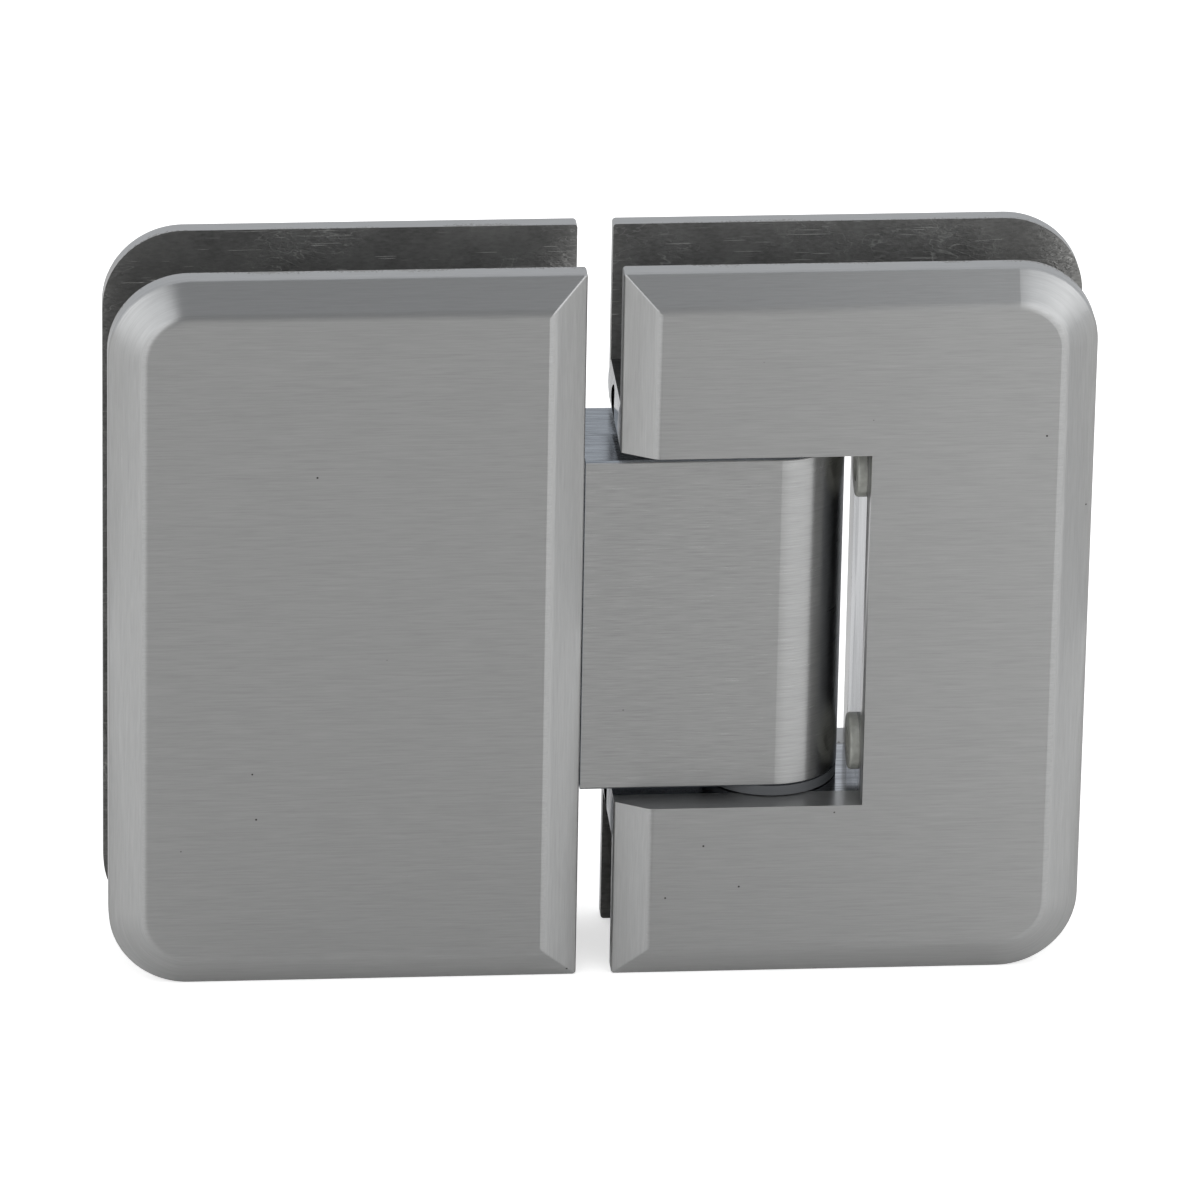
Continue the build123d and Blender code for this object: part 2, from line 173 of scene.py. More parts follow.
# Brushed satin nickel: long fine strokes that pull every highlight across them,
# lighter and smoother on their crests, and a few tiny pits.
# The strokes are drawn coarser than real ones, so that they show at this distance.
def satin_nickel(
    tree, place, stroke_place, stroke_depth, tangent_axis, tangent_turn, bare_mask, bare_finish
):
    bare_colour, bare_roughness, bare_height = bare_finish
    fine_place = add_node(
        tree, "ShaderNodeMapping", "Vector",
        {"Vector": stroke_place, "Scale": (1 / stroke_length, 1 / stroke_width, 1 / stroke_width)},
    )
    strokes = add_node(
        tree, "ShaderNodeTexNoise", "Fac",
        {"Vector": fine_place, "Scale": 1.0, "Detail": 3.0, "Roughness": 0.6},
    )
    long_strokes = add_node(
        tree, "ShaderNodeTexNoise", "Fac", {"Vector": fine_place, "Scale": 0.37, "Detail": 2.0}
    )
    strokes = add_node(tree, "ShaderNodeMix", "Result", {"Factor": 0.3, "A": strokes, "B": long_strokes})
    tone = add_node(
        tree, "ShaderNodeMapRange", "Result",
        {"Value": strokes, "From Min": 0.5 - 0.18 / stroke_depth, "From Max": 0.5 + 0.18 / stroke_depth},
    )
    colour = add_node(
        tree, "ShaderNodeMix", "Result",
        {"Factor": tone, "A": to_linear(nickel_dark), "B": to_linear(nickel_light)}, data_type="RGBA",
    )
    pits = add_node(
        tree, "ShaderNodeTexVoronoi", "Distance", {"Vector": place, "Scale": 1 / pit_spacing}
    )
    pits = add_node(
        tree, "ShaderNodeMapRange", "Result",
        {"Value": pits, "From Min": 0.014, "From Max": 0.026, "To Min": 1.0, "To Max": 0.0},
    )
    colour = add_node(
        tree, "ShaderNodeMix", "Result",
        {"Factor": pits, "A": colour, "B": to_linear(pit_dark)}, data_type="RGBA",
    )
    roughness = add_node(
        tree, "ShaderNodeMapRange", "Result", {"Value": tone, "To Min": 0.34, "To Max": 0.27}
    )
    height = add_node(
        tree, "ShaderNodeMath", 0, {0: strokes, 1: 0.006 * stroke_depth}, operation="MULTIPLY"
    )
    colour = add_node(
        tree, "ShaderNodeMix", "Result",
        {"Factor": bare_mask, "A": colour, "B": bare_colour}, data_type="RGBA",
    )
    roughness = add_node(
        tree, "ShaderNodeMix", "Result", {"Factor": bare_mask, "A": roughness, "B": bare_roughness}
    )
    height = add_node(
        tree, "ShaderNodeMix", "Result", {"Factor": bare_mask, "A": height, "B": bare_height}
    )
    normal = add_node(
        tree, "ShaderNodeBump", "Normal", {"Height": height, "Distance": mm, "Strength": 1.0}
    )
    tangent = add_node(
        tree, "ShaderNodeTangent", "Tangent", {}, direction_type="RADIAL", axis=tangent_axis
    )
    surface = add_node(
        tree, "ShaderNodeBsdfPrincipled", "BSDF",
        {
            "Base Color": colour, "Metallic": 1.0, "Roughness": roughness, "Normal": normal,
            "Anisotropic": 0.92, "Anisotropic Rotation": tangent_turn, "Tangent": tangent,
        },
    )
    add_node(tree, "ShaderNodeOutputMaterial", None, {"Surface": surface})


# The cast face reaches a little way round the rim, with a ragged edge.
def cast_side(tree, place):
    depth = add_node(tree, "ShaderNodeSeparateXYZ", "Y", {"Vector": place})
    depth = add_node(tree, "ShaderNodeMath", 0, {0: depth}, operation="ABSOLUTE")
    edge = add_node(
        tree, "ShaderNodeTexNoise", "Fac", {"Vector": place, "Scale": 1 / rim_grain, "Detail": 3.0}
    )
    wander = add_node(
        tree, "ShaderNodeTexNoise", "Fac", {"Vector": place, "Scale": 1 / cast_cloud, "Detail": 1.0}
    )
    edge = add_node(tree, "ShaderNodeMath", 0, {0: edge, 1: wander}, operation="MULTIPLY")
    limit = add_node(
        tree, "ShaderNodeMapRange", "Result",
        {
            "Value": edge, "From Min": 0.25, "From Max": 0.40,
            "To Min": glass_face_y + 0.03 * mm, "To Max": glass_face_y + rim_raggedness,
        },
    )
    return add_node(tree, "ShaderNodeMath", 0, {0: depth, 1: limit}, operation="LESS_THAN")


# The strokes run across the flat face, and along each bevel and round its corners.
def plate_strokes(tree, place):
    facing = add_node(tree, "ShaderNodeTexCoord", "Normal", {})
    facing = add_node(tree, "ShaderNodeSeparateXYZ", "Y", {"Vector": facing})
    facing = add_node(tree, "ShaderNodeMath", 0, {0: facing}, operation="ABSOLUTE")
    bevel = add_node(tree, "ShaderNodeMath", 0, {0: facing, 1: bevel_facing}, operation="LESS_THAN")
    along_bevel = add_node(
        tree, "ShaderNodeMapping", "Vector",
        {"Vector": place, "Scale": (1, 2, stroke_width / stroke_length)},
    )
    return add_node(
        tree, "ShaderNodeMix", "Result",
        {"Factor": bevel, "A": place, "B": along_bevel}, data_type="VECTOR",
    )


plate_nickel, tree = new_material("brushed_satin_nickel")
place = add_node(tree, "ShaderNodeTexCoord", "Object", {})
satin_nickel(
    tree, place, plate_strokes(tree, place), plate_stroke_depth, "X", 0.0,
    cast_side(tree, place), as_cast(tree, place),
)
for name in ("fixed_front_plate", "fixed_back_plate"):
    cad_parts[name].material_slots[0].material = plate_nickel


# Pivot block of the fixed leaf: the tongue between the plates and the round-ended knuckle.
# One casting, brushed round the knuckle, with its ends and its tongue left as milled.
knuckle_axis_x = 21.1 * mm
knuckle_radius = 8.15 * mm
knuckle_end_z = 20.9 * mm
tongue_edge_x = -1.9 * mm
cutter_step = 0.18 * mm
cutter_sweep = 6.0 * mm
cutter_turn = math.radians(24)
knuckle_stroke_depth = 1.15
# The milled tones sit darker than the nickel: partly the milled face's own finish, partly painted shade from
# between the leaves.
milled_light = "#9EA3A8"
milled_dark = "#7A7E83"


# Milled face: cooler and plainer than the brushed nickel, with the cutter's sweeping marks.
def as_milled(tree, place, turn, scale, tones, smoothness):
    mark_place = add_node(
        tree, "ShaderNodeMapping", "Vector", {"Vector": place, "Rotation": turn, "Scale": scale}
    )
    marks = add_node(
        tree, "ShaderNodeTexNoise", "Fac", {"Vector": mark_place, "Scale": 1.0, "Detail": 3.0}
    )
    tone = add_node(
        tree, "ShaderNodeMapRange", "Result", {"Value": marks, "From Min": 0.3, "From Max": 0.7}
    )
    colour = add_node(
        tree, "ShaderNodeMix", "Result",
        {"Factor": tone, "A": to_linear(tones[0]), "B": to_linear(tones[1])}, data_type="RGBA",
    )
    roughness = add_node(
        tree, "ShaderNodeMapRange", "Result",
        {"Value": tone, "To Min": smoothness + 0.06, "To Max": smoothness - 0.04},
    )
    height = add_node(tree, "ShaderNodeMath", 0, {0: marks, 1: 0.006}, operation="MULTIPLY")
    return colour, roughness, height


block_nickel, tree = new_material("brushed_nickel_with_milled_ends")
place = add_node(tree, "ShaderNodeTexCoord", "Object", {})
axes = add_node(tree, "ShaderNodeSeparateXYZ", None, {"Vector": place}).outputs
past_axis = add_node(tree, "ShaderNodeMath", 0, {0: axes["X"], 1: knuckle_axis_x}, operation="SUBTRACT")
past_axis = add_node(tree, "ShaderNodeMath", 0, {0: past_axis, 1: 0.0}, operation="MAXIMUM")
off_axis = add_node(tree, "ShaderNodeMath", 0, {0: axes["Y"]}, operation="ABSOLUTE")
turned = add_node(tree, "ShaderNodeMath", 0, {0: past_axis, 1: off_axis}, operation="ARCTAN2")
straight = add_node(tree, "ShaderNodeMath", 0, {0: axes["X"], 1: knuckle_axis_x}, operation="MINIMUM")
around = add_node(
    tree, "ShaderNodeMath", 0, {0: turned, 1: knuckle_radius, 2: straight}, operation="MULTIPLY_ADD"
)
stroke_place = add_node(tree, "ShaderNodeCombineXYZ", "Vector", {"X": around, "Z": axes["Z"]})
end_height = add_node(tree, "ShaderNodeMath", 0, {0: axes["Z"]}, operation="ABSOLUTE")
ends = add_node(tree, "ShaderNodeMath", 0, {0: end_height, 1: knuckle_end_z}, operation="GREATER_THAN")
tongue = add_node(tree, "ShaderNodeMath", 0, {0: axes["X"], 1: tongue_edge_x}, operation="LESS_THAN")
milled_mask = add_node(tree, "ShaderNodeMath", 0, {0: ends, 1: tongue}, operation="MAXIMUM")
milled_finish = as_milled(
    tree, place, (0, 0, cutter_turn), (1 / cutter_sweep, 1 / cutter_step, 1 / cutter_step),
    (milled_dark, milled_light), 0.26,
)
satin_nickel(tree, place, stroke_place, knuckle_stroke_depth, "Z", 0.25, milled_mask, milled_finish)
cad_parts["pivot_block"].material_slots[0].material = block_nickel


# Flanged bushes that the pin turns in, pressed into the knuckle's two ends.
# Turned from grey acetal rod: each flange is the thrust washer that shows under the knuckle.
turning_step = 0.12 * mm
acetal_light = "#56585B"
acetal_dark = "#454749"
acetal, tree = new_material("turned_grey_acetal")
place = add_node(tree, "ShaderNodeTexCoord", "Object", {})
from_axis = add_node(
    tree, "ShaderNodeVectorMath", "Vector", {0: place, 1: (knuckle_axis_x, 0, 0)}, operation="SUBTRACT"
)
axes = add_node(tree, "ShaderNodeSeparateXYZ", None, {"Vector": from_axis}).outputs
flat_place = add_node(tree, "ShaderNodeCombineXYZ", "Vector", {"X": axes["X"], "Y": axes["Y"]})
radius = add_node(tree, "ShaderNodeVectorMath", "Value", {0: flat_place}, operation="LENGTH")
ring_place = add_node(tree, "ShaderNodeCombineXYZ", "Vector", {"X": radius, "Z": axes["Z"]})
# Turned plastic: close dull rings round the axis and a soft sheen.
rings = add_node(
    tree, "ShaderNodeTexNoise", "Fac", {"Vector": ring_place, "Scale": 1 / turning_step, "Detail": 2.0}
)
colour = add_node(
    tree, "ShaderNodeMix", "Result",
    {"Factor": rings, "A": to_linear(acetal_dark), "B": to_linear(acetal_light)}, data_type="RGBA",
)
roughness = add_node(tree, "ShaderNodeMapRange", "Result", {"Value": rings, "To Min": 0.32, "To Max": 0.48})
normal = add_node(tree, "ShaderNodeBump", "Normal", {"Height": rings, "Distance": 0.006 * mm})
surface = add_node(
    tree, "ShaderNodeBsdfPrincipled", "BSDF",
    {"Base Color": colour, "Roughness": roughness, "Normal": normal, "IOR": 1.48},
)
add_node(tree, "ShaderNodeOutputMaterial", None, {"Surface": surface})
for name in ("upper_flange_bush", "lower_flange_bush"):
    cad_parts[name].material_slots[0].material = acetal


# Plungers that push the rollers onto the pin, sliding in the tongue's two bores.
# Turned from brass bar, with a half-round cradle milled across the nose.
oil_patch = 2.5 * mm
brass_light = "#C3A768"
brass_dark = "#9C8148"
brass, tree = new_material("turned_brass")
place = add_node(tree, "ShaderNodeTexCoord", "Object", {})
along = add_node(tree, "ShaderNodeSeparateXYZ", "X", {"Vector": place})
ring_place = add_node(tree, "ShaderNodeCombineXYZ", "Vector", {"X": along})
# Turned brass: fine feed rings along the bar and slightly dulled patches where the oil sits.
rings = add_node(
    tree, "ShaderNodeTexNoise", "Fac", {"Vector": ring_place, "Scale": 1 / turning_step, "Detail": 2.0}
)
oil = add_node(tree, "ShaderNodeTexNoise", "Fac", {"Vector": place, "Scale": 1 / oil_patch, "Detail": 2.0})
tone = add_node(tree, "ShaderNodeMix", "Result", {"Factor": 0.5, "A": rings, "B": oil})
tone = add_node(tree, "ShaderNodeMapRange", "Result", {"Value": tone, "From Min": 0.3, "From Max": 0.7})
colour = add_node(
    tree, "ShaderNodeMix", "Result",
    {"Factor": tone, "A": to_linear(brass_dark), "B": to_linear(brass_light)}, data_type="RGBA",
)
roughness = add_node(tree, "ShaderNodeMapRange", "Result", {"Value": tone, "To Min": 0.36, "To Max": 0.24})
normal = add_node(tree, "ShaderNodeBump", "Normal", {"Height": rings, "Distance": 0.006 * mm})
surface = add_node(
    tree, "ShaderNodeBsdfPrincipled", "BSDF",
    {"Base Color": colour, "Metallic": 1.0, "Roughness": roughness, "Normal": normal},
)
add_node(tree, "ShaderNodeOutputMaterial", None, {"Surface": surface})
for name in ("upper_plunger", "lower_plunger"):
    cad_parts[name].material_slots[0].material = brass


# Rollers in the plungers' noses and the pivot pin that they press on.
# Hardened steel, ground round: the pin is held in the door leaf's lugs by its set screws.
grinding_step = 0.08 * mm
grease_patch = 10 / 3 * mm
ground_light = "#B2B4B7"
ground_dark = "#94969A"
ground_steel, tree = new_material("ground_hardened_steel")
place = add_node(tree, "ShaderNodeTexCoord", "Object", {})
height = add_node(tree, "ShaderNodeSeparateXYZ", "Z", {"Vector": place})
ring_place = add_node(tree, "ShaderNodeCombineXYZ", "Vector", {"Z": height})
# Ground steel: very fine bright rings round the pin under a thin film of grease.
# The rings are drawn coarser than a grinding wheel leaves them, so that they show.
rings = add_node(
    tree, "ShaderNodeTexNoise", "Fac", {"Vector": ring_place, "Scale": 1 / grinding_step, "Detail": 2.0}
)
grease = add_node(
    tree, "ShaderNodeTexNoise", "Fac", {"Vector": place, "Scale": 1 / grease_patch, "Detail": 2.0}
)
tone = add_node(tree, "ShaderNodeMix", "Result", {"Factor": 0.4, "A": rings, "B": grease})
tone = add_node(tree, "ShaderNodeMapRange", "Result", {"Value": tone, "From Min": 0.3, "From Max": 0.7})
colour = add_node(
    tree, "ShaderNodeMix", "Result",
    {"Factor": tone, "A": to_linear(ground_dark), "B": to_linear(ground_light)}, data_type="RGBA",
)
roughness = add_node(tree, "ShaderNodeMapRange", "Result", {"Value": tone, "To Min": 0.28, "To Max": 0.16})
normal = add_node(tree, "ShaderNodeBump", "Normal", {"Height": rings, "Distance": 0.002 * mm})
surface = add_node(
    tree, "ShaderNodeBsdfPrincipled", "BSDF",
    {"Base Color": colour, "Metallic": 1.0, "Roughness": roughness, "Normal": normal},
)
add_node(tree, "ShaderNodeOutputMaterial", None, {"Surface": surface})
for name in ("upper_roller", "lower_roller", "pivot_pin"):
    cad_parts[name].material_slots[0].material = ground_steel


# Compression springs behind the plungers, wound from rectangular wire.
# Oiled spring steel, blued a little by its tempering.
temper_patch = 3.0 * mm
spring_blue = "#4A4C55"
spring_straw = "#6A6158"
spring_steel, tree = new_material("oiled_spring_steel")
place = add_node(tree, "ShaderNodeTexCoord", "Object", {})
# Tempered wire: drifting blue and straw tints, with a fine roughness from the drawing die.
temper = add_node(
    tree, "ShaderNodeTexNoise", "Fac", {"Vector": place, "Scale": 1 / temper_patch, "Detail": 3.0}
)
temper = add_node(tree, "ShaderNodeMapRange", "Result", {"Value": temper, "From Min": 0.35, "From Max": 0.65})
colour = add_node(
    tree, "ShaderNodeMix", "Result",
    {"Factor": temper, "A": to_linear(spring_blue), "B": to_linear(spring_straw)}, data_type="RGBA",
)
die_marks = add_node(
    tree, "ShaderNodeTexNoise", "Fac", {"Vector": place, "Scale": 1 / grinding_step, "Detail": 2.0}
)
roughness = add_node(
    tree, "ShaderNodeMapRange", "Result", {"Value": die_marks, "To Min": 0.24, "To Max": 0.42}
)
normal = add_node(tree, "ShaderNodeBump", "Normal", {"Height": die_marks, "Distance": 0.003 * mm})
surface = add_node(
    tree, "ShaderNodeBsdfPrincipled", "BSDF",
    {"Base Color": colour, "Metallic": 1.0, "Roughness": roughness, "Normal": normal},
)
add_node(tree, "ShaderNodeOutputMaterial", None, {"Surface": surface})
for name in ("upper_spring", "lower_spring"):
    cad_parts[name].material_slots[0].material = spring_steel


# Hex-socket plugs that close the spring bores and carry the springs' load, and the grub screws
# that hold the pin. Stainless steel, turned, broached and threaded.
bore_height = 8.0 * mm
plug_face_x = -23.1 * mm
plug_length = 8.0 * mm
plug_radius = 4.0 * mm
plug_chamfer = 0.5 * mm
plug_neck = 0.7 * mm
plug_thread_root = 3.26 * mm
plug_thread_top = 1.0 * mm
plug_thread_end = 7.6 * mm
plug_pitch = 1.0 * mm
plug_key_width = 4.0 * mm
plug_key_depth = 3.5 * mm
lug_middle_z = 25.2 * mm
grub_face_x = 9.47 * mm
grub_length = 8.0 * mm
grub_radius = 2.0 * mm
grub_tip_radius = 1.2 * mm
grub_thread_root = 1.6 * mm
grub_thread_top = 0.4 * mm
grub_thread_end = 7.6 * mm
grub_pitch = 0.7 * mm
grub_key_width = 2.0 * mm
grub_key_depth = 2.5 * mm
ridge_share = 0.9
merge_distance = 0.004 * mm
stain_patch = 5 / 3 * mm
steel_light = "#B9BABB"
steel_dark = "#8C8D8F"


# Stainless screw steel: turned rings round the screw's own axis and a dull, slightly stained shine.
def screw_steel(name, to_axis):
    material, tree = new_material(name)
    place = add_node(tree, "ShaderNodeTexCoord", "Object", {})
    axes = add_node(tree, "ShaderNodeSeparateXYZ", None, {"Vector": place}).outputs
    off_axis, along = to_axis(tree, axes)
    radius = add_node(tree, "ShaderNodeVectorMath", "Value", {0: off_axis}, operation="LENGTH")
    ring_place = add_node(tree, "ShaderNodeCombineXYZ", "Vector", {"X": radius, "Z": along})
    rings = add_node(
        tree, "ShaderNodeTexNoise", "Fac", {"Vector": ring_place, "Scale": 1 / turning_step, "Detail": 2.0}
    )
    stain = add_node(
        tree, "ShaderNodeTexNoise", "Fac", {"Vector": place, "Scale": 1 / stain_patch, "Detail": 3.0}
    )
    tone = add_node(tree, "ShaderNodeMix", "Result", {"Factor": 0.4, "A": rings, "B": stain})
    tone = add_node(
        tree, "ShaderNodeMapRange", "Result", {"Value": tone, "From Min": 0.3, "From Max": 0.7}
    )
    colour = add_node(
        tree, "ShaderNodeMix", "Result",
        {"Factor": tone, "A": to_linear(steel_dark), "B": to_linear(steel_light)}, data_type="RGBA",
    )
    roughness = add_node(
        tree, "ShaderNodeMapRange", "Result", {"Value": tone, "To Min": 0.38, "To Max": 0.24}
    )
    normal = add_node(tree, "ShaderNodeBump", "Normal", {"Height": rings, "Distance": 0.008 * mm})
    surface = add_node(
        tree, "ShaderNodeBsdfPrincipled", "BSDF",
        {"Base Color": colour, "Metallic": 1.0, "Roughness": roughness, "Normal": normal},
    )
    add_node(tree, "ShaderNodeOutputMaterial", None, {"Surface": surface})
    return material


# The turned rings of a pair of screws along X, one at this height above the middle and one below.
def along_tongue(axis_height):
    def to_axis(tree, axes):
        level = add_node(tree, "ShaderNodeMath", 0, {0: axes["Z"]}, operation="ABSOLUTE")
        level = add_node(tree, "ShaderNodeMath", 0, {0: level, 1: axis_height}, operation="SUBTRACT")
        return add_node(tree, "ShaderNodeCombineXYZ", "Vector", {"X": axes["Y"], "Y": level}), axes["X"]
    return to_axis


# A screw on the Z axis with its drive face at the origin: turned to its steps of radius and depth,
# broached for a hex key, and wound with whole turns of a V thread between two depths.
def threaded_screw(steps, key_width, key_depth, thread_top, thread_end, crest, pitch):
    bpy.ops.object.select_all(action="DESELECT")
    bpy.ops.mesh.primitive_circle_add(vertices=64, radius=steps[0][0], fill_type="NGON")
    screw = bpy.context.object
    bpy.ops.object.mode_set(mode="EDIT")
    bpy.ops.mesh.select_all(action="SELECT")
    for (last_radius, last_depth), (radius, depth) in zip(steps, steps[1:]):
        bpy.ops.mesh.extrude_region_move(TRANSFORM_OT_translate={"value": (0, 0, last_depth - depth)})
        bpy.ops.transform.resize(
            value=(radius / last_radius, radius / last_radius, 1), center_override=(0, 0, 0)
        )
    bpy.ops.mesh.select_all(action="SELECT")
    bpy.ops.mesh.normals_make_consistent(inside=False)
    bpy.ops.object.mode_set(mode="OBJECT")
    bpy.ops.mesh.primitive_cylinder_add(
        vertices=6, radius=key_width / 2 / math.cos(math.pi / 6), depth=2 * key_depth
    )
    key = bpy.context.object
    reach = ridge_share * pitch / math.sqrt(3)
    bpy.ops.mesh.primitive_circle_add(
        vertices=3, radius=reach, location=(crest - reach, 0, -thread_top),
        rotation=(math.pi / 2, math.pi / 2, 0),
    )
    ridge = bpy.context.object
    bpy.ops.object.transform_apply()
    winding = ridge.modifiers.new("winding", "SCREW")
    winding.axis = "Z"
    winding.screw_offset = -pitch
    winding.iterations = int((thread_end - thread_top) / pitch)
    winding.steps = 32
    winding.render_steps = 32
    bpy.ops.object.modifier_apply(modifier="winding")
    bpy.ops.object.mode_set(mode="EDIT")
    bpy.ops.mesh.select_all(action="SELECT")
    bpy.ops.mesh.fill_holes(sides=3)
    bpy.ops.mesh.normals_make_consistent(inside=False)
    bpy.ops.object.mode_set(mode="OBJECT")
    bpy.ops.object.select_all(action="DESELECT")
    screw.select_set(True)
    bpy.context.view_layer.objects.active = screw
    for other, operation in ((key, "DIFFERENCE"), (ridge, "UNION")):
        cut = screw.modifiers.new("cut", "BOOLEAN")
        cut.operation = operation
        cut.object = other
        cut.solver = "EXACT"
        bpy.ops.object.modifier_apply(modifier="cut")
        bpy.data.objects.remove(other)
    bpy.ops.object.mode_set(mode="EDIT")
    bpy.ops.mesh.select_all(action="SELECT")
    bpy.ops.mesh.remove_doubles(threshold=merge_distance)
    bpy.ops.mesh.dissolve_degenerate(threshold=merge_distance)
    bpy.ops.mesh.quads_convert_to_tris()
    bpy.ops.mesh.normals_make_consistent(inside=False)
    bpy.ops.object.mode_set(mode="OBJECT")
    bpy.ops.object.shade_smooth_by_angle(angle=math.radians(25))
    return screw


# Copies of one screw, turned and set in their holes, as one piece in place of the plain CAD node.
def fit_screws(screw, name, turn, places, node, body, steel):
    bpy.ops.object.select_all(action="DESELECT")
    for place in places:
        copy = screw.copy()
        copy.data = screw.data.copy()
        bpy.context.collection.objects.link(copy)
        copy.rotation_euler = turn
        copy.location = place
        copy.select_set(True)
    bpy.context.view_layer.objects.active = copy
    bpy.ops.object.transform_apply()
    if len(places) > 1:
        bpy.ops.object.join()
    fitted = bpy.context.object
    fitted.name = name
    fitted.data.materials.append(steel)
    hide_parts(node)
    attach(fitted, body)


facing_left = (0, -math.pi / 2, 0)
plug_steps = [
    (plug_radius - plug_chamfer, 0), (plug_radius, plug_chamfer),
    (plug_thread_root, plug_neck), (plug_thread_root, plug_length),
]
plug = threaded_screw(
    plug_steps, plug_key_width, plug_key_depth, plug_thread_top, plug_thread_end, plug_radius, plug_pitch
)
plug_steel = screw_steel("turned_stainless_plug", along_tongue(bore_height))
grub_steps = [
    (grub_thread_root, 0), (grub_thread_root, grub_thread_end), (grub_tip_radius, grub_length)
]
grub_screw = threaded_screw(
    grub_steps, grub_key_width, grub_key_depth, grub_thread_top, grub_thread_end, grub_radius, grub_pitch
)
grub_steel = screw_steel("turned_stainless_grub_screw", along_tongue(lug_middle_z))
for level, sign in (("upper", 1), ("lower", -1)):
    fit_screws(
        plug, level + "_threaded_plug", facing_left, [(plug_face_x, 0, sign * bore_height)],
        level + "_spring_plug", "fixed_leaf", plug_steel,
    )
    fit_screws(
        grub_screw, level + "_threaded_grub_screw", facing_left, [(grub_face_x, 0, sign * lug_middle_z)],
        level + "_pin_set_screw", "door_leaf", grub_steel,
    )
bpy.data.objects.remove(plug)
bpy.data.objects.remove(grub_screw)


# Countersunk clamp screws, four in the fixed leaf and two in the door leaf.
# Stainless steel, driven from behind through the glass gap into the front plates.
fixed_screw_middle_x = -18.35 * mm
fixed_screw_half_span = 5.75 * mm
fixed_screw_row_z = 16.5 * mm
door_screw_x = 38.1 * mm
outer_face_y = 10.95 * mm
clamp_length = 20.7 * mm
clamp_head_radius = 4.8 * mm
clamp_head_depth = 2.3 * mm
clamp_radius = 2.5 * mm
clamp_neck_end = 7.0 * mm
clamp_tip_radius = 1.6 * mm
clamp_point = 0.4 * mm
clamp_thread_root = 1.92 * mm
clamp_thread_top = 7.6 * mm
clamp_thread_end = 20.2 * mm
clamp_pitch = 0.8 * mm
clamp_key_width = 3.0 * mm
clamp_key_depth = 2.2 * mm


# The turned rings of screws along Y, in two rows above and below the middle.
def through_glass(middle_x, half_span, row_z):
    def to_axis(tree, axes):
        across = add_node(tree, "ShaderNodeMath", 0, {0: axes["X"], 1: middle_x}, operation="SUBTRACT")
        across = add_node(tree, "ShaderNodeMath", 0, {0: across}, operation="ABSOLUTE")
        across = add_node(tree, "ShaderNodeMath", 0, {0: across, 1: half_span}, operation="SUBTRACT")
        level = add_node(tree, "ShaderNodeMath", 0, {0: axes["Z"]}, operation="ABSOLUTE")
        level = add_node(tree, "ShaderNodeMath", 0, {0: level, 1: row_z}, operation="SUBTRACT")
        return add_node(tree, "ShaderNodeCombineXYZ", "Vector", {"X": across, "Y": level}), axes["Y"]
    return to_axis


facing_back = (-math.pi / 2, 0, 0)
clamp_steps = [
    (clamp_head_radius, 0), (clamp_radius, clamp_head_depth), (clamp_radius, clamp_neck_end),
    (clamp_thread_root, clamp_neck_end + clamp_point), (clamp_thread_root, clamp_length - clamp_point),
    (clamp_tip_radius, clamp_length),
]
clamp_screw = threaded_screw(
    clamp_steps, clamp_key_width, clamp_key_depth,
    clamp_thread_top, clamp_thread_end, clamp_radius, clamp_pitch,
)
fixed_places = [
    (fixed_screw_middle_x + across * fixed_screw_half_span, outer_face_y, up * fixed_screw_row_z)
    for across in (-1, 1) for up in (-1, 1)
]
fixed_screw_steel = screw_steel(
    "turned_stainless_fixed_screws",
    through_glass(fixed_screw_middle_x, fixed_screw_half_span, fixed_screw_row_z),
)
fit_screws(
    clamp_screw, "threaded_fixed_clamp_screws", facing_back, fixed_places,
    "fixed_clamp_screws", "fixed_leaf", fixed_screw_steel,
)
door_places = [(door_screw_x, outer_face_y, up * lug_middle_z) for up in (-1, 1)]
door_screw_steel = screw_steel(
    "turned_stainless_door_screws", through_glass(door_screw_x, 0.0, lug_middle_z)
)
fit_screws(
    clamp_screw, "threaded_door_clamp_screws", facing_back, door_places,
    "door_clamp_screws", "door_leaf", door_screw_steel,
)
bpy.data.objects.remove(clamp_screw)


# The door leaf's plates: a C-shaped cover in front, and behind it the plate with the pin lugs
# and the web cast on. Brushed and plated like the fixed leaf, with the lugs and web milled clean.
machined_y = 6.40 * mm
web_scratch_length = 9.0 * mm
web_scratch_width = 0.2 * mm
machined_light = "#B2B4B7"
machined_dark = "#7A7D81"
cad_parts["door_front_plate"].material_slots[0].material = plate_nickel
yoke_nickel, tree = new_material("brushed_nickel_with_milled_lugs")
place = add_node(tree, "ShaderNodeTexCoord", "Object", {})
depth = add_node(tree, "ShaderNodeSeparateXYZ", "Y", {"Vector": place})
machined = add_node(tree, "ShaderNodeMath", 0, {0: depth, 1: machined_y}, operation="LESS_THAN")
cast_colour, cast_roughness, cast_height = as_cast(tree, place)
lug_colour, lug_roughness, lug_height = as_milled(
    tree, place, (0, 0, 0), (1 / web_scratch_length, 1 / web_scratch_width, 1 / web_scratch_length),
    (machined_dark, machined_light), 0.14,
)
inner_colour = add_node(
    tree, "ShaderNodeMix", "Result",
    {"Factor": machined, "A": cast_colour, "B": lug_colour}, data_type="RGBA",
)
inner_roughness = add_node(
    tree, "ShaderNodeMix", "Result", {"Factor": machined, "A": cast_roughness, "B": lug_roughness}
)
inner_height = add_node(
    tree, "ShaderNodeMix", "Result", {"Factor": machined, "A": cast_height, "B": lug_height}
)
inner_mask = add_node(
    tree, "ShaderNodeMath", 0, {0: cast_side(tree, place), 1: machined}, operation="MAXIMUM"
)
satin_nickel(
    tree, place, plate_strokes(tree, place), plate_stroke_depth, "X", 0.0,
    inner_mask, (inner_colour, inner_roughness, inner_height),
)
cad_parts["door_back_plate"].material_slots[0].material = yoke_nickel
